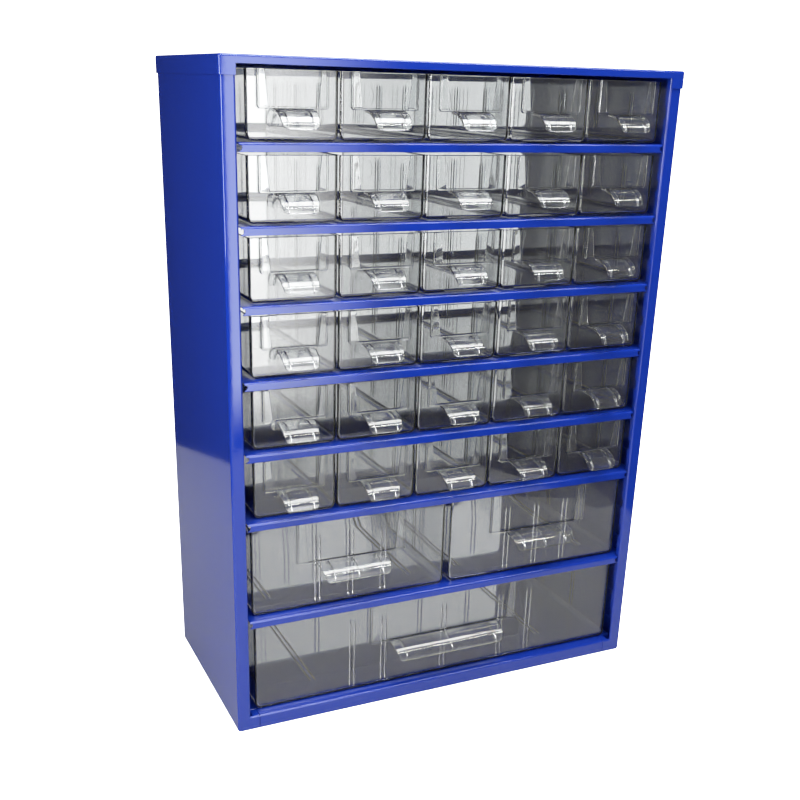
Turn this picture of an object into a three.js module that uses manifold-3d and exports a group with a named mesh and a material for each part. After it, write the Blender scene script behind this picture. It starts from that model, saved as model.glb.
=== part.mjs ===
// Small-parts cabinet: a folded sheet-steel case with seven hooked-in shelves and
// thirty-three clear plastic drawers that slide out to the front.
// Millimetres, +Z up, front towards -Y, origin at the centre of the footprint.

import * as THREE from "three";
import { mergeVertices } from "three/addons/utils/BufferGeometryUtils.js";
import Module from "manifold-3d";

const wasm = await Module();
wasm.setup();

// ---- driving dimensions ----

// steel case
const sheet = 0.7; // thickness of every steel sheet
const caseWidth = 304.4; // outside the side walls
const caseDepth = 141.8; // front flange face to rear flange face
const caseCornerRadius = 2; // bend where a side wall turns into the bottom
const stileWidth = 8.7; // front flange beside the drawers
const sillHeight = 10; // front flange under the lowest drawer
const returnDepth = 8.5; // edge of the front flange folded back into the case
const rearFlange = 12; // rear edge folded inwards
const seamInset = 6.3; // sill joint, in from the stile
const seamWidth = 0.4;

// cover
const seamGap = 0.1; // between the cover's skirts and the case
const coverSkirt = 10.6; // skirt over the sides, the back and the stiles
const coverLip = 4.7; // skirt over the drawer opening

// shelves and the slots that they hook into
const slotPitch = 22.5;
const slotHeight = 7.4;
const slotFront = 2.5; // solid edge left in front of a slot
const slotCorner = 1.5;
const shelfLip = 5; // height of a shelf's front edge
const flangeExtra = 1; // how much further a shelf's side and rear edges are folded down
const lipEndGap = 1.2; // between a shelf lip and the stile
const lipRelief = 2; // radius of the relief at each end of a lip
const reliefOverlap = 0.2; // relief's centre beyond the end of the lip
const fitGap = 0.3; // between parts that are hooked or laid together

// back panel
const windowMargin = 28; // from the side wall's outside to a window
const windowSill = 5; // window's lower edge above the shelf
const windowCorner = 4;
const topWindowHead = 6; // the uppermost window reaches closer to its row's ceiling

// drawers
const drawerRecess = 7; // drawer front behind the case front
const drawerFloorGap = 0.5;
const drawerHeadroom = 2; // under the lip above
const drawerRearGap = 1;
const drawerWall = 1.3;
const drawerFloor = 1.4;
const drawerCorner = 4; // outside radius along the two lower edges
const edgePlay = 1.5; // from the right-hand stile to the last drawer

// label pocket and scoop handle, the same section on every drawer
const pocketStand = 2; // pocket plate's face in front of the drawer
const pocketPlate = 1;
const pocketRim = 1.2;
const handleReach = 15;
const handleRise = 10;
const handleShell = 1.3;
const handleCorner = 2;
const ribThickness = 1.1;
const ribDepth = 5; // how far a rib comes down the drawer's face
const scoopSteps = 4;

// one entry per row of drawers, from the top; freePlay is the space left beside the row
const smallRow = {
  kind: "small",
  count: 5,
  slots: 2,
  spacing: 0.9,
  freePlay: 7,
  windowHead: 14,
  pocketWidth: 42,
  flapTop: 4.4,
  flapBottom: 6.5,
  rootWidth: 24.5,
  tipWidth: 21,
  tipHeight: 7,
  ribs: [-7.5, 7.5],
};
const mediumRow = {
  kind: "medium",
  count: 2,
  slots: 3,
  spacing: 4.5,
  freePlay: 4.5,
  windowHead: 14,
  pocketWidth: 77,
  flapTop: 5.5,
  flapBottom: 7.7,
  rootWidth: 50,
  tipWidth: 44,
  tipHeight: 21.5,
  ribs: [-17, 0, 17],
};
const largeRow = {
  kind: "large",
  count: 1,
  slots: 0, // stands on the floor plate, so its height is largeBay
  spacing: 0,
  freePlay: 5.6,
  windowHead: 22,
  pocketWidth: 115,
  flapTop: 5.5,
  flapBottom: 7.7,
  rootWidth: 86,
  tipWidth: 79,
  tipHeight: 22.5,
  ribs: [-35, 0, 35],
};
const largeBay = 69.8;
const smallRowCount = 6;

// ---- sizes that follow ----

const half = caseWidth / 2;
const openingHalf = half - stileWidth;
const coverHalf = half + seamGap + sheet;
const shelfHalf = half - sheet - fitGap;
const lipHalf = openingHalf - lipEndGap;
const shelfFlange = shelfLip + flangeExtra;

const rows = [...Array(smallRowCount).fill(smallRow), mediumRow, largeRow];
const rowFloors = []; // height of the surface that each row stands on, from the top row down
let floorHeight = sillHeight;
for (const row of [...rows].reverse()) {
  rowFloors.unshift(floorHeight);
  floorHeight += row === largeRow ? largeBay : row.slots * slotPitch;
}
const cabinetHeight = floorHeight - shelfLip + coverLip;
const caseTop = cabinetHeight - sheet - fitGap;

const handleFront = drawerRecess - handleReach; // foremost point of the handles
const coverRear = caseDepth + seamGap + sheet;
const originDepth = (handleFront + coverRear) / 2; // origin behind the case front

const panelRear = caseDepth - sheet - fitGap;
const panelFront = panelRear - sheet;
const drawerDepth = panelFront - drawerRearGap - drawerRecess;

// ---- shapes and solids ----

const steel = new THREE.MeshStandardMaterial({ color: 0x1c37b4, roughness: 0.22, metalness: 0.1 });
const clearPlastic = new THREE.MeshStandardMaterial({
  color: 0xe6edef,
  roughness: 0.06,
  metalness: 0,
  transparent: true,
  opacity: 0.35,
});

const arcSegments = 2; // straight pieces in each rounded corner
const reliefSides = 12;

function toSolid(geometry) {
  geometry.deleteAttribute("normal");
  geometry.deleteAttribute("uv");
  const merged = mergeVertices(geometry, 1e-4);
  const vertProperties = new Float32Array(merged.attributes.position.array);
  const triVerts = new Uint32Array(merged.index.array);
  return new wasm.Manifold(new wasm.Mesh({ numProp: 3, vertProperties, triVerts }));
}

function toGeometry(solid) {
  const { vertProperties, triVerts } = solid.getMesh();
  const geometry = new THREE.BufferGeometry();
  geometry.setAttribute("position", new THREE.BufferAttribute(vertProperties, 3));
  geometry.setIndex(new THREE.BufferAttribute(triVerts, 1));
  geometry.computeVertexNormals();
  return geometry;
}

// a block between two corners
function block([x0, y0, z0], [x1, y1, z1]) {
  const geometry = new THREE.BoxGeometry(x1 - x0, y1 - y0, z1 - z0);
  geometry.translate((x0 + x1) / 2, (y0 + y1) / 2, (z0 + z1) / 2);
  return toSolid(geometry);
}

// an outline drawn in x and z, carried along y
function alongY(outline, y0, y1) {
  const geometry = new THREE.ExtrudeGeometry(outline, {
    depth: y1 - y0,
    bevelEnabled: false,
    curveSegments: arcSegments,
  });
  geometry.rotateX(Math.PI / 2);
  geometry.translate(0, y1, 0);
  return toSolid(geometry);
}

// an outline drawn in y and z, carried along x
function alongX(outline, x0, x1) {
  const geometry = new THREE.ExtrudeGeometry(outline, {
    depth: x1 - x0,
    bevelEnabled: false,
    curveSegments: arcSegments,
  });
  const turn = new THREE.Matrix4().makeBasis(
    new THREE.Vector3(0, 1, 0),
    new THREE.Vector3(0, 0, 1),
    new THREE.Vector3(1, 0, 0),
  );
  geometry.applyMatrix4(turn);
  geometry.translate(x0, 0, 0);
  return toSolid(geometry);
}

function outlineOf(points) {
  return new THREE.Shape(points.map(([a, b]) => new THREE.Vector2(a, b)));
}

// a rectangle with rounded corners, or with the two lower corners rounded
function roundedRectangle(a0, a1, b0, b1, radius, lowerOnly = false) {
  const shape = new THREE.Shape();
  const upper = lowerOnly ? 0 : radius;
  shape.moveTo(a0, b1 - upper);
  shape.lineTo(a0, b0 + radius);
  shape.absarc(a0 + radius, b0 + radius, radius, Math.PI, 1.5 * Math.PI, false);
  shape.lineTo(a1 - radius, b0);
  shape.absarc(a1 - radius, b0 + radius, radius, 1.5 * Math.PI, 2 * Math.PI, false);
  shape.lineTo(a1, b1 - upper);
  if (upper > 0) {
    shape.absarc(a1 - upper, b1 - upper, upper, 0, 0.5 * Math.PI, false);
    shape.lineTo(a0 + upper, b1);
    shape.absarc(a0 + upper, b1 - upper, upper, 0.5 * Math.PI, Math.PI, false);
  }
  return shape;
}

// an upright U: outer half width, bottom and corner radius, then the same for its inside
function uOutline(outerHalf, outerBottom, outerRadius, innerHalf, innerBottom, innerRadius, top) {
  const shape = roundedRectangle(-outerHalf, outerHalf, outerBottom, top, outerRadius, true);
  shape.lineTo(innerHalf, top);
  shape.lineTo(innerHalf, innerBottom + innerRadius);
  const innerCentre = innerBottom + innerRadius;
  shape.absarc(innerHalf - innerRadius, innerCentre, innerRadius, 0, -0.5 * Math.PI, true);
  shape.lineTo(innerRadius - innerHalf, innerBottom);
  shape.absarc(innerRadius - innerHalf, innerCentre, innerRadius, 1.5 * Math.PI, Math.PI, true);
  shape.lineTo(-innerHalf, top);
  return shape;
}

function joined(solids) {
  return solids.reduce((whole, piece) => whole.add(piece));
}

// ---- steel pieces ----

// both sides and the bottom are one folded sheet, with flanges turned in at front and back
function caseShell() {
  const innerCorner = caseCornerRadius - sheet;
  const wrap = uOutline(half, 0, caseCornerRadius, half - sheet, sheet, innerCorner, caseTop);
  const frontFlange = uOutline(half, 0, caseCornerRadius, openingHalf, sillHeight, sheet, caseTop);
  const returns = uOutline(
    openingHalf + sheet, sillHeight - sheet, sheet,
    openingHalf, sillHeight, sheet,
    caseTop,
  );
  const rear = uOutline(
    half, 0, caseCornerRadius,
    half - rearFlange, rearFlange, sheet,
    caseTop,
  );
  let shell = joined([
    alongY(wrap, 0, caseDepth),
    alongY(frontFlange, 0, sheet),
    alongY(returns, 0, returnDepth),
    alongY(rear, caseDepth - sheet, caseDepth),
  ]);
  for (const side of [-1, 1]) {
    for (const centre of slotCentres()) {
      shell = shell.subtract(slotCutter(side, centre));
    }
    const seam = side * (openingHalf - seamInset);
    const seamLow = [seam - seamWidth / 2, -sheet, -sheet];
    const seamHigh = [seam + seamWidth / 2, sheet, sillHeight + sheet];
    shell = shell.subtract(block(seamLow, seamHigh));
  }
  return shell;
}

// a shelf's top face meets the upper edge of its slot with fitGap to spare
function slotCentres() {
  const topShelf = rowFloors[0];
  const first = topShelf + fitGap - slotHeight / 2 + slotPitch;
  const centres = [];
  for (let centre = first; centre - slotHeight > sillHeight; centre -= slotPitch) {
    centres.push(centre);
  }
  return centres;
}

function slotCutter(side, centre) {
  const beyond = returnDepth + 2 * slotCorner;
  const low = centre - slotHeight / 2;
  const outline = roundedRectangle(slotFront, beyond, low, low + slotHeight, slotCorner);
  const inner = side * openingHalf;
  return alongX(outline, inner - 2 * sheet, inner + 2 * sheet);
}

function topCover() {
  const bottom = cabinetHeight - coverSkirt;
  const under = cabinetHeight - sheet;
  const skirtIn = half + seamGap;
  const frontOut = -seamGap - sheet;
  let cover = block([-coverHalf, frontOut, bottom], [coverHalf, coverRear, cabinetHeight]);
  cover = cover.subtract(block([-skirtIn, -seamGap, bottom - 1], [skirtIn, coverRear - sheet, under]));
  const mouthLow = [-openingHalf, frontOut - 1, bottom - 1];
  const mouthHigh = [openingHalf, 0, cabinetHeight - coverLip];
  return cover.subtract(block(mouthLow, mouthHigh));
}

// rear edge of every shelf stays just in front of the back panel
const shelfRear = panelFront - fitGap;

function shelf() {
  const lipFace = fitGap;
  const hook = slotFront + slotCorner; // clear of the slot's rounded corners
  const flangeFront = returnDepth + 2;
  const relief = new THREE.CylinderGeometry(lipRelief, lipRelief, 4 * sheet, reliefSides);
  let plate = joined([
    block([-lipHalf, lipFace, -sheet], [lipHalf, hook + 1, 0]),
    block([-shelfHalf, hook, -sheet], [shelfHalf, shelfRear, 0]),
    block([-lipHalf, lipFace, -shelfLip], [lipHalf, lipFace + sheet, 0]),
    block([-shelfHalf, shelfRear - sheet, -shelfFlange], [shelfHalf, shelfRear, 0]),
    block([-shelfHalf, flangeFront, -shelfFlange], [-shelfHalf + sheet, shelfRear, 0]),
    block([shelfHalf - sheet, flangeFront, -shelfFlange], [shelfHalf, shelfRear, 0]),
  ]);
  for (const side of [-1, 1]) {
    const cut = relief.clone().translate(side * (lipHalf + reliefOverlap), lipFace, -shelfLip / 2);
    plate = plate.subtract(toSolid(cut));
  }
  return plate;
}

// a pan turned upside down on the case bottom, level with the sill
function floorPlate() {
  const front = returnDepth + fitGap;
  const low = sheet + fitGap - sillHeight;
  const inner = shelfHalf - caseCornerRadius;
  const pan = block([-inner, front, low], [inner, shelfRear, 0]);
  const hollowLow = [-inner + sheet, front + sheet, low - 1];
  const hollowHigh = [inner - sheet, shelfRear - sheet, -sheet];
  return pan.subtract(block(hollowLow, hollowHigh));
}

function backPanel() {
  const low = caseCornerRadius;
  const high = caseTop - fitGap;
  let panel = block([-shelfHalf, panelFront, low], [shelfHalf, panelRear, high]);
  const side = half - windowMargin;
  rows.forEach((row, index) => {
    const above = index === 0 ? rowFloors[0] + row.slots * slotPitch : rowFloors[index - 1];
    const windowLow = rowFloors[index] + windowSill;
    const windowHigh = above - (index === 0 ? topWindowHead : row.windowHead);
    const outline = roundedRectangle(-side, side, windowLow, windowHigh, windowCorner);
    panel = panel.subtract(alongY(outline, panelFront - sheet, panelRear + sheet));
  });
  return panel;
}

// ---- drawers: local origin at the middle of the front face's lower edge ----

function drawerSize(row, index) {
  const bay = index === rows.length - 1 ? largeBay : row.slots * slotPitch;
  const usable = 2 * openingHalf - edgePlay - row.freePlay - (row.count - 1) * row.spacing;
  return {
    width: usable / row.count,
    height: bay - shelfLip - drawerFloorGap - drawerHeadroom,
  };
}

function tray({ width, height }) {
  const innerCorner = drawerCorner - drawerWall;
  const outside = roundedRectangle(-width / 2, width / 2, 0, height, drawerCorner, true);
  const innerHalf = width / 2 - drawerWall;
  const inside = roundedRectangle(-innerHalf, innerHalf, drawerFloor, height + 1, innerCorner, true);
  const cavity = alongY(inside, drawerWall, drawerDepth - drawerWall);
  return alongY(outside, 0, drawerDepth).subtract(cavity);
}

// two slanted flaps and a ledge that hold a label card against the drawer front
function labelPocket(row, top) {
  const bottom = row.tipHeight + handleRise;
  const outer = row.pocketWidth / 2;
  const ledge = bottom + pocketRim;
  const topInner = outer - row.flapTop;
  const bottomInner = outer - row.flapBottom;
  const flaps = outlineOf([
    [-outer, top], [-outer, bottom], [outer, bottom], [outer, top],
    [topInner, top], [bottomInner, ledge], [-bottomInner, ledge], [-topInner, top],
  ]);
  const rimInner = outer - pocketRim;
  const rim = outlineOf([
    [-outer, top], [-outer, bottom], [outer, bottom], [outer, top],
    [rimInner, top], [rimInner, ledge], [-rimInner, ledge], [-rimInner, top],
  ]);
  const plateRear = pocketPlate - pocketStand;
  return alongY(flaps, -pocketStand, plateRear).add(alongY(rim, -pocketStand, drawerWall / 2));
}

// a quarter-round scoop: its section falls from the pocket's ledge to the tip
function scoopCurve(row, inset) {
  const points = [];
  for (let step = 0; step <= scoopSteps; step += 1) {
    const angle = (step / scoopSteps) * (Math.PI / 2);
    const y = -(handleReach - inset) * Math.sin(angle);
    const z = row.tipHeight + (handleRise - inset) * Math.cos(angle);
    points.push([y, z]);
  }
  return points;
}

function scoopHandle(row) {
  const root = drawerWall / 2;
  const outer = scoopCurve(row, 0);
  const inner = scoopCurve(row, handleShell);
  const top = row.tipHeight + handleRise;
  const section = outlineOf([
    [root, top],
    ...outer,
    ...inner.reverse(),
    [root, top - handleShell],
  ]);
  const shell = alongX(section, -row.rootWidth / 2, row.rootWidth / 2);

  const tip = row.tipWidth / 2;
  const front = new THREE.Shape();
  front.moveTo(-row.rootWidth / 2, top + 1);
  front.lineTo(-tip, row.tipHeight + handleCorner);
  front.absarc(
    -tip + handleCorner, row.tipHeight + handleCorner, handleCorner, Math.PI, 1.5 * Math.PI, false,
  );
  front.absarc(
    tip - handleCorner, row.tipHeight + handleCorner, handleCorner, 1.5 * Math.PI, 2 * Math.PI, false,
  );
  front.lineTo(row.rootWidth / 2, top + 1);
  const trimmed = shell.intersect(alongY(front, -handleReach - 1, drawerWall));

  const ribSection = outlineOf([
    [root, top - handleShell / 2],
    ...scoopCurve(row, handleShell / 2),
    [root, top - ribDepth],
  ]);
  const ribs = row.ribs.map((x) => alongX(ribSection, x - ribThickness / 2, x + ribThickness / 2));
  return joined([trimmed, ...ribs]);
}

function drawer(row, size) {
  return joined([tray(size), labelPocket(row, size.height), scoopHandle(row)]);
}

// ---- assembly ----

const group = new THREE.Group();
const cabinet = new THREE.Group();
cabinet.position.y = -originDepth;
group.add(cabinet);

function place(name, solid, material, [x, y, z]) {
  const mesh = new THREE.Mesh(toGeometry(solid), material.clone());
  mesh.name = name;
  mesh.position.set(x, y, z);
  cabinet.add(mesh);
}

place("case_shell", caseShell(), steel, [0, 0, 0]);
place("top_cover", topCover(), steel, [0, 0, 0]);
place("back_panel", backPanel(), steel, [0, 0, 0]);
place("floor_plate", floorPlate(), steel, [0, 0, sillHeight]);

const shelfSolid = shelf();
rowFloors.slice(0, -1).forEach((height, index) => {
  place(`shelf_${index + 1}`, shelfSolid, steel, [0, 0, height]);
});

rows.forEach((row, index) => {
  const size = drawerSize(row, index);
  const solid = drawer(row, size);
  for (let column = 0; column < row.count; column += 1) {
    const fromRight = row.count - 1 - column;
    const right = openingHalf - edgePlay - fromRight * (size.width + row.spacing);
    const name = `${row.kind}_drawer_r${index + 1}c${column + 1}`;
    const z = rowFloors[index] + drawerFloorGap;
    place(name, solid, clearPlastic, [right - size.width / 2, drawerRecess, z]);
  }
});

export default group;
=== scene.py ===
# Small-parts cabinet: a folded sheet-steel case in gloss blue with clear plastic drawers.
# Lengths in the settings are millimetres; makeMesh turns them into metres.
import math

import bmesh
import bpy
import numpy as np
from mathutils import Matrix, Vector


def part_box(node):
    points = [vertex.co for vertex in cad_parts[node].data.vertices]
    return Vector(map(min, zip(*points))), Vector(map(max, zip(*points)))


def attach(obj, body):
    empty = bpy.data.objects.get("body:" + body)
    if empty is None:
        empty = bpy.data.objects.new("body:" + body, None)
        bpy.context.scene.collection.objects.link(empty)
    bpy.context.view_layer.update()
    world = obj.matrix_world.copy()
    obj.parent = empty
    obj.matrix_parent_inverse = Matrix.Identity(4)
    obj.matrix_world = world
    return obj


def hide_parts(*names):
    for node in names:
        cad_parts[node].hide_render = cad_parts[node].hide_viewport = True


mm = 0.001
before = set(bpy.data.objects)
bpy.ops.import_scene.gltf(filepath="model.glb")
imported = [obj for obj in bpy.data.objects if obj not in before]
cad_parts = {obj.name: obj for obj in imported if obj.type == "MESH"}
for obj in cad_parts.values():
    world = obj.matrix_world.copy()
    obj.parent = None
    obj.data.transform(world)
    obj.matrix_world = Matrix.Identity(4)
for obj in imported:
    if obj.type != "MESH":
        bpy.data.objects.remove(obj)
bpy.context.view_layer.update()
print("frame loaded:", len(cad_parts), "nodes")

mergeDistance = 2e-6  # in metres: points closer than this become one


def boxOf(node):
    # a node's lowest and highest corners, in millimetres
    low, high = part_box(node)
    return np.array(low) / mm, np.array(high) / mm


def quarter(steps):
    # angles from 0 to a right angle
    return np.linspace(0, math.pi / 2, steps + 1)


def gridFaces(rows, columns, closed=False, keep=None):
    # four-sided faces between neighbouring rows and columns of a grid of points, numbered row by row;
    # closed joins the last column to the first, and keep leaves out the faces where it is False
    last = columns if closed else columns - 1
    row, column = np.meshgrid(np.arange(rows - 1), np.arange(last), indexing="ij")
    after = (column + 1) % columns
    quads = np.stack([row * columns + column, row * columns + after,
                      (row + 1) * columns + after, (row + 1) * columns + column], axis=-1)
    return quads.reshape(-1, 4) if keep is None else quads[keep]


def gridPart(x, y, z, closed=False, keep=None, capped=False):
    # a surface from three arrays of the same two-dimensional shape; capped closes its first and last rows
    rows, columns = x.shape
    points = np.stack([x, y, z], axis=-1).reshape(-1, 3)
    faces = gridFaces(rows, columns, closed, keep).tolist()
    if capped:
        faces.append(list(range(columns))[::-1])
        faces.append(list(range((rows - 1) * columns, rows * columns)))
    return points, faces


def joinParts(parts):
    # several surfaces as one list of points and one list of faces
    points = np.concatenate([part[0] for part in parts])
    starts = np.cumsum([0] + [len(part[0]) for part in parts])
    faces = [[start + corner for corner in face] for start, part in zip(starts, parts) for face in part[1]]
    return points, faces


def makeMesh(name, part, closedShell):
    # merges the seams and drops faces without area; a closed shell's faces are turned outwards
    points, faces = part
    mesh = bpy.data.meshes.new(name)
    mesh.from_pydata((points * mm).tolist(), [], faces)
    work = bmesh.new()
    work.from_mesh(mesh)
    bmesh.ops.remove_doubles(work, verts=work.verts, dist=mergeDistance)
    bmesh.ops.dissolve_degenerate(work, edges=work.edges, dist=mergeDistance)
    unused = [vertex for vertex in work.verts if not vertex.link_faces]
    bmesh.ops.delete(work, geom=unused, context="VERTS")
    if closedShell:
        bmesh.ops.recalc_face_normals(work, faces=work.faces)
    work.to_mesh(mesh)
    work.free()
    return mesh


def worked(piece):
    # the piece's mesh with its modifiers worked in
    bpy.context.view_layer.update()
    shown = piece.evaluated_get(bpy.context.evaluated_depsgraph_get())
    mesh = bpy.data.meshes.new_from_object(shown)
    piece.modifiers.clear()
    piece.data = mesh
    return mesh


def smoothed(piece, smoothAngle):
    # smooth except along edges sharper than smoothAngle, with the flat faces kept flat
    mesh = worked(piece)
    mesh.shade_smooth()
    mesh.set_sharp_from_angle(angle=math.radians(smoothAngle))
    flat = piece.modifiers.new("flatFaces", "WEIGHTED_NORMAL")
    flat.keep_sharp = True
    flat.weight = 100
    return worked(piece)


def newObject(name, mesh):
    piece = bpy.data.objects.new(name, mesh)
    bpy.context.scene.collection.objects.link(piece)
    return piece


def finished(piece, material, body, node):
    # the piece with its finish, riding its body in place of the node
    piece.data.materials.clear()
    piece.data.materials.append(material)
    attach(piece, body)
    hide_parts(node)


camera = dict(place=(-324.1, -661.8, 404.7), turn=(69.06, -1.60, -24.86), lens=48.58, sensor=36,
              shift=(0.0032, 0.1204), clip=(0.02, 50))  # clip in metres


def makeCamera():
    data = bpy.data.cameras.new("camera")
    data.sensor_width = camera["sensor"]
    data.lens = camera["lens"]
    data.shift_x, data.shift_y = camera["shift"]
    data.clip_start, data.clip_end = camera["clip"]
    view = newObject("camera", data)
    view.location = np.array(camera["place"]) * mm
    view.rotation_euler = [math.radians(angle) for angle in camera["turn"]]
    bpy.context.scene.camera = view


def nodesOf(owner):
    # the node tree of a material or a world, and a short way to add a node with its settings
    tree = owner.node_tree

    def add(kind, **values):
        node = tree.nodes.new(kind)
        for key, value in values.items():
            setattr(node, key, value)
        return node

    return tree, add


stageFinish = dict(roughness=0.9, shine=0.1)


def stageMaterial(name, colour, glow=0.0):
    material = bpy.data.materials.new(name)
    material.use_nodes = True
    shader = material.node_tree.nodes["Principled BSDF"]
    shader.inputs["Base Color"].default_value = colour
    shader.inputs["Roughness"].default_value = stageFinish["roughness"]
    shader.inputs["Specular IOR Level"].default_value = stageFinish["shine"]
    if glow:
        shader.inputs["Emission Color"].default_value = (1, 1, 1, 1)
        shader.inputs["Emission Strength"].default_value = glow
    return material


paperStrip = dict(halfWidth=450, front=-200, steps=(0, 400, 800, 1200), rear=1500, bend=300, bendSteps=12,
                  height=1500, drop=0.3, litAbove=2, litFrom=1000, colour=(0.56, 0.56, 0.56, 1), glow=0.78)


def makePaper():
    # a pale strip that lies along the view and curves up behind: a line, a quarter circle, a line;
    # its far part glows a little, and the camera doesn't see it
    strip = paperStrip
    heading = math.radians(-camera["turn"][2])
    along = np.array([math.sin(heading), math.cos(heading)])
    across = np.array([along[1], -along[0]])
    start = np.array(camera["place"][:2])
    bend = quarter(strip["bendSteps"])
    run = np.concatenate([[strip["front"], *strip["steps"]],
                          strip["rear"] + strip["bend"] * np.sin(bend), [strip["rear"] + strip["bend"]]])
    rise = np.concatenate([np.zeros(1 + len(strip["steps"])),
                           strip["bend"] * (1 - np.cos(bend)), [strip["height"]]])
    side = np.linspace(-1, 1, 2) * strip["halfWidth"]
    runGrid, sideGrid = np.meshgrid(run, side, indexing="ij")
    riseGrid = np.repeat(rise[:, None], 2, axis=1)
    x = start[0] + along[0] * runGrid + across[0] * sideGrid
    y = start[1] + along[1] * runGrid + across[1] * sideGrid
    mesh = makeMesh("paper", gridPart(x, y, riseGrid - strip["drop"]), closedShell=False)
    paper = newObject("paper", mesh)
    paper.data.materials.append(stageMaterial("whitePaper", strip["colour"]))
    paper.data.materials.append(stageMaterial("litPaper", strip["colour"], strip["glow"]))
    for face in paper.data.polygons:
        far = face.center.y > strip["litFrom"] * mm
        face.material_index = int(far or face.center.z > strip["litAbove"] * mm)
        face.use_smooth = True
    paper.visible_camera = False


stageFloor = dict(reach=6000, drop=0.1, colour=(0.88, 0.88, 0.88, 1), glow=3.0)


def makeFloor():
    # a wide flat square just above the paper, seen by the camera only
    reach = stageFloor["reach"]
    x, y = np.meshgrid([-reach, reach], [-reach, reach], indexing="ij")
    z = np.full((2, 2), -stageFloor["drop"])
    floor = newObject("floor", makeMesh("floor", gridPart(x, y, z), closedShell=True))
    floor.data.materials.append(stageMaterial("floorPaint", stageFloor["colour"], stageFloor["glow"]))
    floor.visible_glossy = False
    floor.visible_transmission = False
    floor.visible_diffuse = False
    floor.visible_shadow = False


glowScreen = dict(left=0, right=250, fade=230, front=-630, low=0, rise=100, high=470, glow=5.9)


def makeSoftbox():
    # a glowing upright screen in front, fading towards its right-hand edge and its foot
    box = glowScreen
    x, z = np.meshgrid([box["left"], box["right"]], [box["low"], box["high"]], indexing="ij")
    y = np.full((2, 2), float(box["front"]))
    screen = newObject("softbox", makeMesh("softbox", gridPart(x, y, z), closedShell=False))
    material = bpy.data.materials.new("softboxGlow")
    material.use_nodes = True
    tree, add = nodesOf(material)
    tree.nodes.clear()
    place = add("ShaderNodeTexCoord")
    split = add("ShaderNodeSeparateXYZ")
    fade = add("ShaderNodeMapRange", interpolation_type="SMOOTHERSTEP")
    fade.inputs["From Min"].default_value = box["right"] * mm
    fade.inputs["From Max"].default_value = (box["right"] - box["fade"]) * mm
    rise = add("ShaderNodeMapRange", interpolation_type="SMOOTHERSTEP")
    rise.inputs["From Min"].default_value = box["low"] * mm
    rise.inputs["From Max"].default_value = (box["low"] + box["rise"]) * mm
    both = add("ShaderNodeMath", operation="MULTIPLY")
    level = add("ShaderNodeMath", operation="MULTIPLY")
    level.inputs[1].default_value = box["glow"]
    glow = add("ShaderNodeEmission")
    out = add("ShaderNodeOutputMaterial")
    link = tree.links.new
    link(place.outputs["Object"], split.inputs[0])
    link(split.outputs["X"], fade.inputs["Value"])
    link(split.outputs["Z"], rise.inputs["Value"])
    link(fade.outputs[0], both.inputs[0])
    link(rise.outputs[0], both.inputs[1])
    link(both.outputs[0], level.inputs[0])
    link(level.outputs[0], glow.inputs["Strength"])
    link(glow.outputs[0], out.inputs["Surface"])
    screen.data.materials.append(material)
    screen.visible_camera = False
    screen.visible_shadow = False


lamps = {
    "topLight": dict(place=(110, -230, 1100), aim=(0, 0, 200), size=(900, 500), power=12.5),
    "sideLight": dict(place=(-480, -300, 400), aim=(-100, 0, 200), size=(200, 350), power=3.1),
    "stripLight": dict(place=(230, -560, 880), aim=(0, 0, 200), size=(800, 40), power=3.4),
}


def areaLight(name, place, aim, size, power):
    # a rectangular lamp turned towards the point it lights
    data = bpy.data.lights.new(name, "AREA")
    data.shape = "RECTANGLE"
    data.size, data.size_y = size[0] * mm, size[1] * mm
    data.energy = power
    lamp = newObject(name, data)
    start, end = np.array(place) * mm, np.array(aim) * mm
    lamp.location = start
    lamp.rotation_euler = Vector(end - start).to_track_quat("-Z", "Y").to_euler()
    lamp.visible_camera = False


roomLight = dict(room=(0.03, 0.03, 0.032, 1), throughPlastic=(0.24, 0.24, 0.25, 1), toCamera=3.0)


def makeWorld():
    # plain white to the camera, lighter through clear plastic, and a dim room to everything else
    world = bpy.data.worlds.new("studioRoom")
    bpy.context.scene.world = world
    world.use_nodes = True
    tree, add = nodesOf(world)
    tree.nodes.clear()
    path = add("ShaderNodeLightPath")
    room = add("ShaderNodeBackground")
    room.inputs["Color"].default_value = roomLight["room"]
    through = add("ShaderNodeBackground")
    through.inputs["Color"].default_value = roomLight["throughPlastic"]
    white = add("ShaderNodeBackground")
    white.inputs["Color"].default_value = (1, 1, 1, 1)
    white.inputs["Strength"].default_value = roomLight["toCamera"]
    around = add("ShaderNodeMixShader")
    mix = add("ShaderNodeMixShader")
    out = add("ShaderNodeOutputWorld")
    link = tree.links.new
    link(path.outputs["Is Transmission Ray"], around.inputs["Fac"])
    link(room.outputs[0], around.inputs[1])
    link(through.outputs[0], around.inputs[2])
    link(path.outputs["Is Camera Ray"], mix.inputs["Fac"])
    link(around.outputs[0], mix.inputs[1])
    link(white.outputs[0], mix.inputs[2])
    link(mix.outputs[0], out.inputs["Surface"])


tone = dict(middle=((0.35, 0.37), (0.7, 0.68)), brightest=(1.0, 0.84), bounces=32, glossyBounces=8)


def setTone():
    # a gentle shoulder on the brightest tones, and enough bounces for light to cross many clear walls
    scene = bpy.context.scene
    scene.view_settings.view_transform = "Standard"
    scene.view_settings.use_curve_mapping = True
    shoulder = scene.view_settings.curve_mapping
    shoulder.extend = "EXTRAPOLATED"
    for level, shown in tone["middle"]:
        shoulder.curves[3].points.new(level, shown)
    shoulder.curves[3].points[-1].location = tone["brightest"]
    shoulder.update()
    scene.cycles.max_bounces = tone["bounces"]
    scene.cycles.transmission_bounces = tone["bounces"]
    scene.cycles.transparent_max_bounces = tone["bounces"]
    scene.cycles.glossy_bounces = tone["glossyBounces"]


makeCamera()
makeWorld()
makePaper()
makeFloor()
makeSoftbox()
for lampName, settings in lamps.items():
    areaLight(lampName, **settings)
setTone()
print("stage ready")

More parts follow.
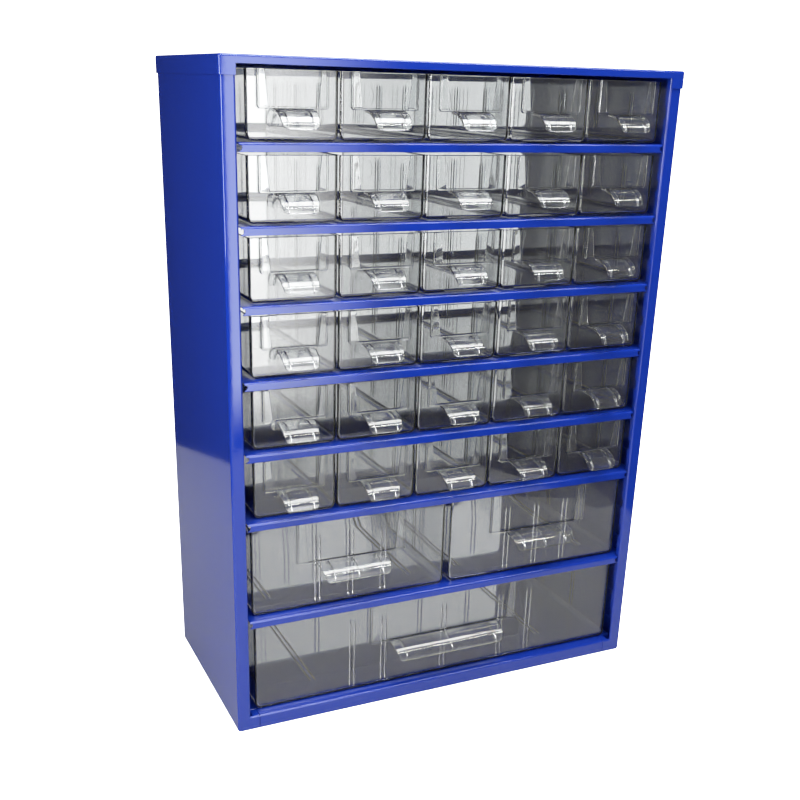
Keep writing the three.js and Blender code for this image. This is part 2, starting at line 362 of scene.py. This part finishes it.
paintFinish = dict(colour=(0.007, 0.030, 0.305, 1), deeper=(0.006, 0.026, 0.270, 1),
                   shine=(0.88, 0.94, 1.0, 1), ior=1.62, gloss=(0.05, 0.08), cloudScale=9, cloudDetail=3,
                   cloudRange=(0.35, 0.65), peelScale=420, peelDetail=1, peelHeight=0.02, peelDepth=0.0005)


def glossPaint():
    # stoved gloss enamel: a faint orange peel, and slight unevenness in colour and gloss
    finish = paintFinish
    material = bpy.data.materials.new("bluePaint")
    material.use_nodes = True
    tree, add = nodesOf(material)
    shader = tree.nodes["Principled BSDF"]
    place = add("ShaderNodeTexCoord")
    cloud = add("ShaderNodeTexNoise")
    cloud.inputs["Scale"].default_value = finish["cloudScale"]
    cloud.inputs["Detail"].default_value = finish["cloudDetail"]
    colour = add("ShaderNodeMix", data_type="RGBA")
    colour.inputs["A"].default_value = finish["colour"]
    colour.inputs["B"].default_value = finish["deeper"]
    gloss = add("ShaderNodeMapRange")
    gloss.inputs["From Min"].default_value, gloss.inputs["From Max"].default_value = finish["cloudRange"]
    gloss.inputs["To Min"].default_value, gloss.inputs["To Max"].default_value = finish["gloss"]
    peel = add("ShaderNodeTexNoise")
    peel.inputs["Scale"].default_value = finish["peelScale"]
    peel.inputs["Detail"].default_value = finish["peelDetail"]
    bump = add("ShaderNodeBump")
    bump.inputs["Strength"].default_value = finish["peelHeight"]
    bump.inputs["Distance"].default_value = finish["peelDepth"]
    link = tree.links.new
    link(place.outputs["Object"], cloud.inputs["Vector"])
    link(place.outputs["Object"], peel.inputs["Vector"])
    link(cloud.outputs["Fac"], colour.inputs["Factor"])
    link(colour.outputs["Result"], shader.inputs["Base Color"])
    link(cloud.outputs["Fac"], gloss.inputs["Value"])
    link(gloss.outputs[0], shader.inputs["Roughness"])
    link(peel.outputs["Fac"], bump.inputs["Height"])
    link(bump.outputs[0], shader.inputs["Normal"])
    shader.inputs["IOR"].default_value = finish["ior"]
    shader.inputs["Specular Tint"].default_value = finish["shine"]
    return material


plasticFinish = dict(colour=(0.965, 0.975, 0.975, 1), clear=0.99, ior=1.56, haze=(0.0, 0.05),
                     hazeRange=(0.3, 0.8), flowScale=30, flowDetail=2, rippleHeight=0.01, rippleDepth=0.0003)


def clearMoulding():
    # clear moulded plastic: polished, with faint flow lines and a light haze of fine scratches
    finish = plasticFinish
    material = bpy.data.materials.new("clearPlastic")
    material.use_nodes = True
    tree, add = nodesOf(material)
    shader = tree.nodes["Principled BSDF"]
    shader.inputs["Base Color"].default_value = finish["colour"]
    shader.inputs["Transmission Weight"].default_value = finish["clear"]
    shader.inputs["IOR"].default_value = finish["ior"]
    place = add("ShaderNodeTexCoord")
    flow = add("ShaderNodeTexNoise")
    flow.inputs["Scale"].default_value = finish["flowScale"]
    flow.inputs["Detail"].default_value = finish["flowDetail"]
    haze = add("ShaderNodeMapRange")
    haze.inputs["From Min"].default_value, haze.inputs["From Max"].default_value = finish["hazeRange"]
    haze.inputs["To Min"].default_value, haze.inputs["To Max"].default_value = finish["haze"]
    bump = add("ShaderNodeBump")
    bump.inputs["Strength"].default_value = finish["rippleHeight"]
    bump.inputs["Distance"].default_value = finish["rippleDepth"]
    link = tree.links.new
    link(place.outputs["Object"], flow.inputs["Vector"])
    link(flow.outputs["Fac"], haze.inputs["Value"])
    link(haze.outputs[0], shader.inputs["Roughness"])
    link(flow.outputs["Fac"], bump.inputs["Height"])
    link(bump.outputs[0], shader.inputs["Normal"])
    return material


bluePaint = glossPaint()
clearPlastic = clearMoulding()
print("finishes ready")

steel = dict(sheet=0.7, bend=1.3, bendSteps=5, cornerSteps=4, cutEdge=0.12, cutAngle=60, smoothAngle=40)


def sheetPiece(name, part, node):
    # folded sheet steel: the drawn surface is its outside, and the thickness goes inwards
    piece = newObject(name, makeMesh(name, part, closedShell=False))
    wall = piece.modifiers.new("wall", "SOLIDIFY")
    wall.thickness = steel["sheet"] * mm
    wall.offset = -1
    wall.use_even_offset = True
    cut = piece.modifiers.new("cutEdges", "BEVEL")
    cut.width = steel["cutEdge"] * mm
    cut.segments = 1
    cut.limit_method = "ANGLE"
    cut.angle_limit = math.radians(steel["cutAngle"])
    smoothed(piece, steel["smoothAngle"])
    finished(piece, bluePaint, "cabinet", node)


caseFolds = dict(corner=2.0, cornerSteps=6, wallSteps=6, stile=8.7, sill=10.0, returned=8.5, rearFlange=12.0,
                 slotPitch=22.5, slotHeight=7.4, slotFront=2.5, slotCorner=1.5, slotPlay=0.3,
                 seamInset=6.3, seamWidth=0.4, notch=1.6)


def slotEdges(slotTops):
    # heights down a return, with how far the sheet reaches back there, and whether it is whole just below:
    # each slot is a rounded rectangle that is open at the rear
    fold = caseFolds
    turn = quarter(steel["cornerSteps"])
    deepest = fold["slotFront"] + fold["slotCorner"]
    reach = deepest - fold["slotCorner"] * np.sin(turn)
    drop = fold["slotCorner"] * (1 - np.cos(turn))
    down = np.concatenate([drop, fold["slotHeight"] - drop[::-1]])
    heights = (slotTops[:, None] - down[None, :]).ravel()
    reaches = np.tile(np.concatenate([reach, reach[::-1]]), len(slotTops))
    whole = np.zeros(len(heights), bool)
    whole[len(down) - 1::len(down)] = True
    return heights, reaches, whole


def makeCase():
    # a fold profile (rear flange, wall, front flange, return) carried down the left side, round the
    # lower corner, along the bottom and up the right side; the corner is round outside and mitred inside
    fold = caseFolds
    low, high = boxOf("case_shell")
    depth, halfWidth, top = high[1] - low[1], high[0], high[2]
    bend, corner, wallSteps = steel["bend"], fold["corner"], fold["wallSteps"]
    turn = quarter(steel["bendSteps"])

    def profile(width):
        # how far in from the side each point of the section stands
        return np.concatenate([[fold["rearFlange"]], bend * (1 - np.sin(turn)), np.zeros(wallSteps),
                               bend * (1 - np.cos(turn)), [width / 2],
                               width - bend + bend * np.sin(turn), [width, width]])

    back = np.concatenate([[depth], depth - bend * (1 - np.cos(turn)),
                           np.linspace(depth - bend, bend, wallSteps + 2)[1:-1],
                           bend * (1 - np.sin(turn)), [0], bend * (1 - np.cos(turn)), [bend, fold["returned"]]])
    sideIn, sillIn = profile(fold["stile"]), profile(fold["sill"])
    columns = len(sideIn)
    faceStart = 2 * len(turn) + wallSteps  # first column of the front face
    outer = sideIn < corner
    limitX = np.where(outer, corner, sideIn)
    limitZ = np.where(outer, corner, sillIn)

    # stations down the left side
    shelfTop = boxOf("shelf_1")[1][2]
    firstTop = shelfTop + fold["slotPlay"] + fold["slotPitch"]
    tops = np.arange(firstTop, fold["sill"] + 2 * fold["slotHeight"], -fold["slotPitch"])
    slotZ, slotReach, slotWhole = slotEdges(tops)
    deepest = fold["slotFront"] + fold["slotCorner"]
    notchZ = fold["sill"] + fold["notch"]
    sideZ = np.concatenate([[top], slotZ, [notchZ, corner]])
    sideReach = np.concatenate([[deepest], slotReach, [deepest, deepest]])
    sideWhole = np.concatenate([[True], slotWhole, [False, False]])
    sideReturn = np.concatenate([[True], np.ones(len(slotZ), bool), [False, False]])

    # corner stations, then stations along the bottom
    turnCorner = quarter(fold["cornerSteps"])[1:-1]
    seam = halfWidth - fold["stile"] - fold["seamInset"]
    split = fold["seamWidth"] / 2
    notchX = halfWidth - fold["stile"] - fold["notch"]
    bottomX = np.array([-halfWidth + corner, -notchX, -seam - split, -seam + split, 0,
                        seam - split, seam + split, notchX, halfWidth - corner])
    bottomReturn = np.array([False, True, True, True, True, True, True, False, False])
    bottomOpen = np.array([False, False, True, False, False, True, False, False, False])

    sideX = -halfWidth + np.repeat(sideIn[None, :], len(sideZ), axis=0)
    sideHeight = np.maximum(sideZ[:, None], limitZ[None, :])
    radius = np.where(outer, corner - sideIn, 0)
    cornerX = np.where(outer, -halfWidth + corner - radius * np.cos(turnCorner[:, None]), -halfWidth + sideIn)
    cornerZ = np.where(outer, corner - radius * np.sin(turnCorner[:, None]), sillIn)
    alongX = np.clip(bottomX[:, None], -halfWidth + limitX, halfWidth - limitX)
    alongZ = np.repeat(sillIn[None, :], len(bottomX), axis=0)

    x = np.concatenate([sideX, cornerX, alongX, -cornerX[::-1], -sideX[::-1]])
    z = np.concatenate([sideHeight, cornerZ, alongZ, cornerZ[::-1], sideHeight[::-1]])
    y = np.repeat(back[None, :], len(x), axis=0)
    flat = np.full(len(turnCorner), deepest)
    reach = np.concatenate([sideReach, flat, np.full(len(bottomX), deepest), flat, sideReach[::-1]])
    y[:, -2] = reach

    # which faces exist between one station and the next
    none = np.zeros(len(turnCorner), bool)
    whole = np.concatenate([sideWhole, none, bottomReturn, none, [False], sideWhole[::-1][1:]])[:-1]
    inner = np.concatenate([sideReturn, none, bottomReturn, none, [False], sideReturn[::-1][1:]])[:-1]
    shut = np.zeros(len(sideZ), bool)
    opened = np.concatenate([shut, none, bottomOpen, none, shut])[:-1]
    keep = np.ones((len(x) - 1, columns - 1), bool)
    keep[:, -1] = whole
    keep[:, -2] = inner
    keep[opened, faceStart:] = False
    points, faces = gridPart(x, y + low[1], z, keep=keep)
    return points, [face[::-1] for face in faces]


def perimeter(halfX, halfY, radius, frontX=()):
    # a rectangle with rounded corners, anticlockwise from its front left: for each station the point on
    # the inner rectangle and the outward direction, so that an inset only moves it along that direction
    turn = quarter(steel["cornerSteps"])
    a, b = halfX - radius, halfY - radius
    front = np.array(frontX, float)
    directions = [np.stack([np.sin(turn + q * math.pi / 2), -np.cos(turn + q * math.pi / 2)], axis=1)
                  for q in range(4)]
    corners = [(a, -b), (a, b), (-a, b), (-a, -b)]
    base = np.concatenate([np.stack([front, np.full(len(front), -b)], axis=1)]
                          + [np.tile(corner, (len(turn), 1)) for corner in corners])
    outward = np.concatenate([np.tile((0.0, -1.0), (len(front), 1))] + directions)
    return base, outward


def panPart(low, high, skirts, radius, frontX=(), lifted=None):
    # a plate with its four edges folded down: rings of the perimeter, from the flat top through a
    # quarter-round bend and down the skirts; lifted marks the stations whose last strip is left out
    turn = quarter(steel["bendSteps"])
    centre = (low + high) / 2
    base, outward = perimeter((high[0] - low[0]) / 2, (high[1] - low[1]) / 2, radius, frontX)
    inset = np.concatenate([radius * (1 - np.sin(turn)), np.zeros(len(skirts))])
    height = np.concatenate([high[2] - radius * (1 - np.cos(turn)), skirts])
    reach = radius - inset
    x = centre[0] + base[None, :, 0] + reach[:, None] * outward[None, :, 0]
    y = centre[1] + base[None, :, 1] + reach[:, None] * outward[None, :, 1]
    z = np.repeat(height[:, None], len(base), axis=1)
    keep = np.ones((len(height) - 1, len(base)), bool)
    if lifted is not None:
        keep[-1, lifted] = False
    points, faces = gridPart(x, y, z, closed=True, keep=keep)
    faces = [face[::-1] for face in faces]
    faces.append(list(range(len(base))))
    return points, faces


coverFolds = dict(lip=4.7, lipEnd=143.5)


def makeCover():
    # a pan whose front skirt is a narrower, shorter lip: its last strip is left out in front
    low, high = boxOf("top_cover")
    end = coverFolds["lipEnd"]
    frontX = (-end, 0, end)
    skirts = [high[2] - coverFolds["lip"], low[2]]
    return panPart(low, high, skirts, steel["bend"], frontX, lifted=[0, 1])


shelfFolds = dict(lip=5.0, lipSteps=14, lipEnd=8.9, hook=4.0, sideFront=10.5, flange=6.0,
                  reliefRadius=2.0, reliefShift=0.2, plateSteps=9, plateShare=0.96)


def makeShelf(node):
    # rows run from the lip's lower edge over the top to the rear flange; columns run from one side
    # flange to the other. The lip is narrower than the plate, and each of its ends has a round bite
    fold = shelfFolds
    low, high = boxOf(node)
    front, rear, top, half = low[1], high[1], high[2], high[0]
    bend = steel["bend"]
    turn = quarter(steel["bendSteps"])
    lipHalf = half - fold["lipEnd"]

    lipZ = np.linspace(-fold["lip"], -bend, fold["lipSteps"])
    away = lipZ + fold["lip"] / 2
    bite = np.sqrt(np.clip(fold["reliefRadius"] ** 2 - away ** 2, 0, None))
    lipEnd = np.minimum(lipHalf, lipHalf + fold["reliefShift"] - bite)
    plateY = np.array([front + fold["hook"], front + fold["sideFront"], rear - bend])
    rowY = np.concatenate([np.full(len(lipZ), front), front + bend * (1 - np.cos(turn)), plateY,
                           rear - bend * (1 - np.sin(turn)), [rear]])
    rowZ = np.concatenate([lipZ, -bend * (1 - np.sin(turn)), np.zeros(3),
                           -bend * (1 - np.cos(turn)), [-fold["flange"]]])
    rowEnd = np.concatenate([lipEnd, np.full(len(rowY) - len(lipZ), lipHalf)])

    sideX = np.concatenate([[half], half - bend * (1 - np.cos(turn))])
    sideZ = np.concatenate([[-fold["flange"]], -bend * (1 - np.sin(turn))])
    across = np.linspace(-fold["plateShare"], fold["plateShare"], fold["plateSteps"]) * lipHalf
    x = np.concatenate([np.repeat(-sideX[None, :], len(rowY), axis=0), -rowEnd[:, None],
                        np.repeat(across[None, :], len(rowY), axis=0), rowEnd[:, None],
                        np.repeat(sideX[None, ::-1], len(rowY), axis=0)], axis=1)
    drop = np.concatenate([sideZ, np.zeros(len(across) + 2), sideZ[::-1]])
    z = top + rowZ[:, None] + drop[None, :]
    y = np.repeat(rowY[:, None], x.shape[1], axis=1)

    columns = np.arange(x.shape[1] - 1)
    firstMiddle = len(sideX)
    isMiddle = (columns >= firstMiddle) & (columns < x.shape[1] - 1 - len(sideX))
    isTab = (columns == firstMiddle - 1) | (columns == x.shape[1] - 1 - len(sideX))
    rows = np.arange(len(rowY) - 1)
    hookRow = len(lipZ) + len(turn)
    inPlate = (rows >= hookRow) & (rows < hookRow + 2)
    flanged = rows == hookRow + 1
    keep = isMiddle[None, :] | (isTab[None, :] & inPlate[:, None]) | flanged[:, None]
    return gridPart(x, y, z, keep=keep)


panelFolds = dict(margin=28.0, sill=5.0, heads=(6, 14, 14, 14, 14, 14, 14, 22), corner=4.0, reach=45.0)


def mirrored(x, up, down):
    # one corner's points and their mirror images, as a ring round the window
    return np.concatenate([np.stack([x, up]), np.stack([-x, up])[:, ::-1],
                           np.stack([-x, -down]), np.stack([x, -down])[:, ::-1]], axis=1)


def makeBackPanel():
    # one ring of faces round each window: from its rounded rectangle out to the edges of its row. Each
    # ring is one corner, from its straight side round to its straight head, and its mirror images
    fold = panelFolds
    low, high = boxOf("back_panel")
    floors = [boxOf(f"shelf_{k}")[1][2] for k in range(1, 8)] + [boxOf("floor_plate")[1][2]]
    ceilings = [floors[0] + fold["reach"]] + floors[:-1]
    edges = [high[2]] + floors[:-1] + [low[2]]
    side = boxOf("case_shell")[1][0] - fold["margin"]
    turn = quarter(steel["cornerSteps"])
    station, halfway = np.arange(len(turn)), len(turn) // 2
    share = np.minimum(1, station / halfway)
    parts = []
    for row, floorZ in enumerate(floors):
        windowLow, windowHigh = floorZ + fold["sill"], ceilings[row] - fold["heads"][row]
        outLow, outHigh = edges[row + 1], edges[row]
        a, b = side - fold["corner"], (windowHigh - windowLow) / 2 - fold["corner"]
        middle = (windowHigh + windowLow) / 2
        innerX, innerZ = a + fold["corner"] * np.cos(turn), b + fold["corner"] * np.sin(turn)
        outerX = np.where(station <= halfway, high[0], a + (high[0] - a) * share[::-1])
        rise, fall = outHigh - middle, middle - outLow
        topZ = np.where(station <= halfway, b + (rise - b) * share, rise)
        lowZ = np.where(station <= halfway, b + (fall - b) * share, fall)
        inner, outer = mirrored(innerX, innerZ, innerZ), mirrored(outerX, topZ, lowZ)
        x = np.stack([inner[0], outer[0]])
        z = np.stack([inner[1], outer[1]]) + middle
        parts.append(gridPart(x, np.full(x.shape, high[1]), z, closed=True))
    return joinParts(parts)


def makeFloorPlate():
    # a pan with one straight skirt all round
    low, high = boxOf("floor_plate")
    return panPart(low, high, [low[2]], steel["bend"])


sheetPiece("folded_case", makeCase(), "case_shell")
sheetPiece("cover_sheet", makeCover(), "top_cover")
for k in range(1, 8):
    sheetPiece(f"shelf_sheet_{k}", makeShelf(f"shelf_{k}"), f"shelf_{k}")
sheetPiece("windowed_back", makeBackPanel(), "back_panel")
sheetPiece("floor_pan", makeFloorPlate(), "floor_plate")
print("steel ready")

# the drawers are drawn round the middle of the front face's lower edge
drawerMould = dict(wall=1.3, floor=1.4, lowerEdge=4.0, lowerSteps=7, faceEdge=0.9, innerEdge=0.7,
                   rim=0.45, rimSteps=3, leastCorner=0.3, cornerShare=0.5, cornerSteps=4, embed=0.4,
                   pocketStand=2.0, pocketPlate=1.0, pocketRim=1.2, pocketRounding=1.2, pocketEdge=0.4,
                   reach=15.0, rise=10.0, scoopSteps=14, shell=1.3, tipCorner=2.0, handleEdge=0.42,
                   rib=1.1, ribRoot=2.8, ribTip=1.5, ribLift=0.2,
                   ridgeGap=3.3, ridgeWidth=0.9, ridgeFoot=0.8, ridgeSides=8, sideRidgeHeight=0.35,
                   sideRidgeLift=3, floorRidgeEnd=1, ridgePoint=4.0, pointShares=(0, 0.3, 0.65, 1),
                   pointSizes=(0.05, 0.5, 0.85, 1), discPlace=0.62, discSides=32,
                   discRise=(0.3, -0.12, -0.2), discSizes=(1.0, 1.0, 0.97),
                   softAngle=50, softSteps=2, smoothAngle=28)

drawerKinds = {
    "small": dict(pocketWidth=42, flapTop=4.4, flapBottom=6.5, root=24.5, tip=21, tipHeight=7,
                  ribs=(-7.5, 7.5), frontRidges=(), rearRidges=(-12.5, 0, 12.5), floorRidges=(),
                  sideRidges=(30, 69, 108), ridgeTop=6.5, ridgeHeight=0.55, floorStart=19, disc=5.5),
    "medium": dict(pocketWidth=77, flapTop=5.5, flapBottom=7.7, root=50, tip=44, tipHeight=21.5,
                   ribs=(-17, 0, 17), frontRidges=(-23.5, 0, 23.5), rearRidges=(-52, -23.5, 0, 23.5, 52),
                   floorRidges=(-52, 52), sideRidges=(45, 88), ridgeTop=9.5, ridgeHeight=0.9,
                   floorStart=19, disc=0),
    "large": dict(pocketWidth=115, flapTop=5.5, flapBottom=7.7, root=86, tip=79, tipHeight=22.5,
                  ribs=(-35, 0, 35), frontRidges=(-70, -46.5, 0, 46.5, 70),
                  rearRidges=(-92, -46.5, 0, 46.5, 92), floorRidges=(-92, 92), sideRidges=(45, 88),
                  ridgeTop=8.8, ridgeHeight=0.9, floorStart=19, disc=0),
}


def tray(width, depth, height):
    # rings round the tray: out from the floor, round the lower edge, up the wall, over the rim, down
    # inside and in along the floor; each ring is a rounded rectangle with its own inset and height
    m = drawerMould
    turn = quarter(m["lowerSteps"])
    rimTurn = quarter(m["rimSteps"])
    low, face = m["lowerEdge"], m["faceEdge"]
    outX = low * (1 - np.sin(turn))
    outZ = low * (1 - np.cos(turn))
    outY = face - np.sqrt(np.clip(face ** 2 - np.clip(face - outZ, 0, None) ** 2, 0, None))
    rim = m["rim"]
    overIn = rim * (1 - np.cos(rimTurn))
    overZ = height - rim * (1 - np.sin(rimTurn))
    acrossIn = m["wall"] - overIn[::-1]
    innerLow = low - m["wall"]
    inX = (m["wall"] + innerLow * (1 - np.sin(turn)))[::-1]
    inZ = (m["floor"] + innerLow * (1 - np.cos(turn)))[::-1]
    edge = m["innerEdge"]
    lift = inZ - m["floor"]
    inY = m["wall"] + edge - np.sqrt(np.clip(edge ** 2 - np.clip(edge - lift, 0, None) ** 2, 0, None))
    insetX = np.concatenate([outX, overIn, acrossIn, inX])
    insetY = np.concatenate([outY, overIn, acrossIn, inY])
    z = np.concatenate([outZ, overZ, overZ[::-1], inZ])
    least = m["leastCorner"]
    corner = np.clip(face + least - np.minimum(insetX, insetY) * m["cornerShare"], least, None)

    turned = quarter(m["cornerSteps"])
    quarterX = np.concatenate([np.sin(turned + q * math.pi / 2) for q in range(4)])
    quarterY = np.concatenate([-np.cos(turned + q * math.pi / 2) for q in range(4)])
    signX = np.repeat([1, 1, -1, -1], len(turned))
    signY = np.repeat([-1, 1, 1, -1], len(turned))
    halfX = width / 2 - insetX[:, None] - corner[:, None]
    halfY = depth / 2 - insetY[:, None] - corner[:, None]
    x = halfX * signX + corner[:, None] * quarterX
    y = depth / 2 + halfY * signY + corner[:, None] * quarterY
    return gridPart(x, y, np.repeat(z[:, None], x.shape[1], axis=1), closed=True, capped=True)


def bar(corners):
    # a closed bar of four-cornered section carried along a path; corners has one array per edge
    x, y, z = (np.stack([corner[axis] for corner in corners], axis=1) for axis in range(3))
    return gridPart(x, y, z, closed=True, capped=True)


def labelPocket(kind, height):
    # an L section carried down one flap, along the ledge and up the other flap
    m = drawerMould
    bottom = kind["tipHeight"] + m["rise"]
    ledge = bottom + m["pocketRim"]
    outer = kind["pocketWidth"] / 2
    rim = outer - m["pocketRim"]
    flapTop, flapLow = outer - kind["flapTop"], outer - kind["flapBottom"]
    rounding = m["pocketRounding"]
    outerX = np.array([-outer, -outer, -outer + rounding, outer - rounding, outer, outer])
    outerZ = np.array([height, bottom + rounding, bottom, bottom, bottom + rounding, height])
    flapX = np.array([-flapTop, -flapLow, -flapLow, flapLow, flapLow, flapTop])
    innerX = np.array([-rim, -rim, -rim, rim, rim, rim])
    innerZ = np.array([height, ledge, ledge, ledge, ledge, height])
    front, plate, root = -m["pocketStand"], m["pocketPlate"] - m["pocketStand"], m["embed"]
    section = [(outerX, root, outerZ), (outerX, front, outerZ), (flapX, front, innerZ),
               (flapX, plate, innerZ), (innerX, plate, innerZ), (innerX, root, innerZ)]
    x = np.stack([part[0] for part in section], axis=1)
    y = np.tile([part[1] for part in section], (len(outerX), 1)).astype(float)
    z = np.stack([part[2] for part in section], axis=1)
    return gridPart(x, y, z, closed=True, capped=True)


def scoop(kind, inset):
    # quarter of an ellipse from the drawer's face, out and down to the tip
    m = drawerMould
    turn = quarter(m["scoopSteps"])
    return -(m["reach"] - inset) * np.sin(turn), kind["tipHeight"] + (m["rise"] - inset) * np.cos(turn)


def handle(kind):
    # the scoop: a flat strip bent along a quarter ellipse, narrowing to a tip with rounded corners, with
    # ribs beneath that get shallower towards the tip
    m = drawerMould
    outY, outZ = scoop(kind, 0)
    inY, inZ = scoop(kind, m["shell"])
    outY[0] = inY[0] = m["embed"]
    top = kind["tipHeight"] + m["rise"]

    def halfWidth(z):
        above = z - kind["tipHeight"]
        straight = kind["tip"] / 2 + (kind["root"] - kind["tip"]) / 2 * above / m["rise"]
        short = np.clip(m["tipCorner"] - above, 0, m["tipCorner"])
        return straight - m["tipCorner"] + np.sqrt(m["tipCorner"] ** 2 - short ** 2)

    out, inner = halfWidth(np.minimum(outZ, top)), halfWidth(inZ)
    shell = bar([(-out, outY, outZ), (out, outY, outZ), (inner, inY, inZ), (-inner, inY, inZ)])
    ribs = []
    depth = np.linspace(m["ribRoot"], m["ribTip"], len(outY))
    normal = quarter(len(outY) - 1)
    midY, midZ = scoop(kind, m["shell"] / 2)
    lowY = midY + depth * np.sin(normal)
    lowZ = midZ - depth * np.cos(normal)
    lowZ = np.maximum(lowZ, kind["tipHeight"] + m["ribLift"])
    midY[0] = m["embed"]
    lowY = np.minimum(lowY, m["embed"])
    lowY[0] = m["embed"]
    for x in kind["ribs"]:
        left, right = np.full(len(midY), x - m["rib"] / 2), np.full(len(midY), x + m["rib"] / 2)
        ribs.append(bar([(left, midY, midZ), (right, midY, midZ), (right, lowY, lowZ), (left, lowY, lowZ)]))
    return [shell] + ribs


def ridge(start, end, up, across, rise):
    # a thin ridge on a wall or floor: half a circle in section, drawn to a point at both ends
    m = drawerMould
    start, end, up, across = (np.array(v, float) for v in (start, end, up, across))
    length = np.linalg.norm(end - start)
    point = m["ridgePoint"]
    shares, sizes = np.array(m["pointShares"]), np.array(m["pointSizes"])
    along = np.concatenate([shares, length / point - shares[::-1]]) * point
    size = np.concatenate([sizes, sizes[::-1]])
    angle = np.linspace(0, 2 * math.pi, m["ridgeSides"] + 1)[:-1]
    path = start + (end - start) * (along / length)[:, None]
    ring = (np.cos(angle)[None, :, None] * across * m["ridgeWidth"] / 2
            + np.sin(angle)[None, :, None] * up * rise) * size[:, None, None]
    points = path[:, None, :] + ring
    return gridPart(points[..., 0], points[..., 1], points[..., 2], closed=True, capped=True)


def ridges(kind, width, depth, height):
    # the pairs of ridges that hold a divider, on the front, the rear, the floor and both sides
    m = drawerMould
    wall, floorZ, tall = m["wall"], m["floor"], kind["ridgeHeight"]
    top, low = height - kind["ridgeTop"], floorZ + m["ridgeFoot"]
    pair = np.array([-m["ridgeGap"] / 2, m["ridgeGap"] / 2])
    made = []
    for x in (np.array(kind["frontRidges"])[:, None] + pair).ravel():
        made.append(ridge((x, wall, low), (x, wall, top), (0, 1, 0), (1, 0, 0), tall))
    for x in (np.array(kind["rearRidges"])[:, None] + pair).ravel():
        made.append(ridge((x, depth - wall, low), (x, depth - wall, top), (0, -1, 0), (1, 0, 0), tall))
    floorEnd = depth - wall - m["floorRidgeEnd"]
    for x in (np.array(kind["floorRidges"])[:, None] + pair).ravel():
        made.append(ridge((x, kind["floorStart"], floorZ), (x, floorEnd, floorZ), (0, 0, 1), (1, 0, 0), tall))
    for side in (-1, 1):
        x = side * (width / 2 - wall)
        for y in (np.array(kind["sideRidges"])[:, None] + pair).ravel():
            made.append(ridge((x, y, low + m["sideRidgeLift"]), (x, y, top), (-side, 0, 0), (0, 1, 0),
                              m["sideRidgeHeight"]))
    return made


def disc(width, radius, y, z):
    # the round mark of an ejector pin, raised a little from the right-hand wall
    m = drawerMould
    angle = np.linspace(0, 2 * math.pi, m["discSides"] + 1)[:-1]
    size = np.array(m["discSizes"]) * radius
    x = np.repeat((width / 2 - m["wall"] + np.array(m["discRise"]))[:, None], len(angle), axis=1)
    return gridPart(x, y + size[:, None] * np.cos(angle), z + size[:, None] * np.sin(angle),
                    closed=True, capped=True)


def softened(part, amount):
    # the same closed shape with its sharp edges rounded
    mesh = makeMesh("softening", part, closedShell=True)
    work = bmesh.new()
    work.from_mesh(mesh)
    sharpest = math.radians(drawerMould["softAngle"])
    sharp = [edge for edge in work.edges if edge.calc_face_angle(0) > sharpest]
    bmesh.ops.bevel(work, geom=sharp, offset=amount * mm, segments=drawerMould["softSteps"], profile=0.5,
                    affect="EDGES", clamp_overlap=True)
    points = np.array([vertex.co for vertex in work.verts]) / mm
    faces = [[vertex.index for vertex in face.verts] for face in work.faces]
    work.free()
    bpy.data.meshes.remove(mesh)
    return points, faces


def drawerShape(kindName, width, depth, height):
    # the tray united with its handle, pocket, ridges and mark into one moulding
    kind, m = drawerKinds[kindName], drawerMould
    parts = [softened(part, m["handleEdge"]) for part in handle(kind)]
    parts.append(softened(labelPocket(kind, height), m["pocketEdge"]))
    parts += ridges(kind, width, depth, height)
    if kind["disc"]:
        parts.append(disc(width, kind["disc"], depth * m["discPlace"], height * m["discPlace"]))
    body = newObject("tray", makeMesh("tray", tray(width, depth, height), closedShell=True))
    extras = newObject("mouldings", makeMesh("mouldings", joinParts(parts), closedShell=True))
    union = body.modifiers.new("oneMoulding", "BOOLEAN")
    union.operation = "UNION"
    union.solver = "EXACT"
    union.use_self = True
    union.object = extras
    shape = smoothed(body, m["smoothAngle"])
    for helper in (body, extras):
        bpy.data.objects.remove(helper)
    return shape


def makeDrawers():
    # each size is shaped once, and every drawer is a copy of it moved to its node's place
    shapes = {}
    for node in sorted(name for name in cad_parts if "_drawer_" in name):
        kindName = node.split("_")[0]
        low, high = boxOf(node)
        width, depth = high[0] - low[0], high[1] - low[1] - drawerMould["reach"]
        if kindName not in shapes:
            shapes[kindName] = drawerShape(kindName, width, depth, high[2] - low[2])
            print(kindName, "drawer:", len(shapes[kindName].polygons), "faces")
        mesh = shapes[kindName].copy()
        place = Vector(((low[0] + high[0]) / 2 * mm, (low[1] + drawerMould["reach"]) * mm, low[2] * mm))
        points = np.zeros(len(mesh.vertices) * 3, np.float32)
        mesh.vertices.foreach_get("co", points)
        mesh.vertices.foreach_set("co", (points.reshape(-1, 3) + np.array(place, np.float32)).ravel())
        mesh.update()
        piece = newObject(node.replace("_drawer_", "_tray_"), mesh)
        finished(piece, clearPlastic, node, node)


makeDrawers()
print("drawers ready")
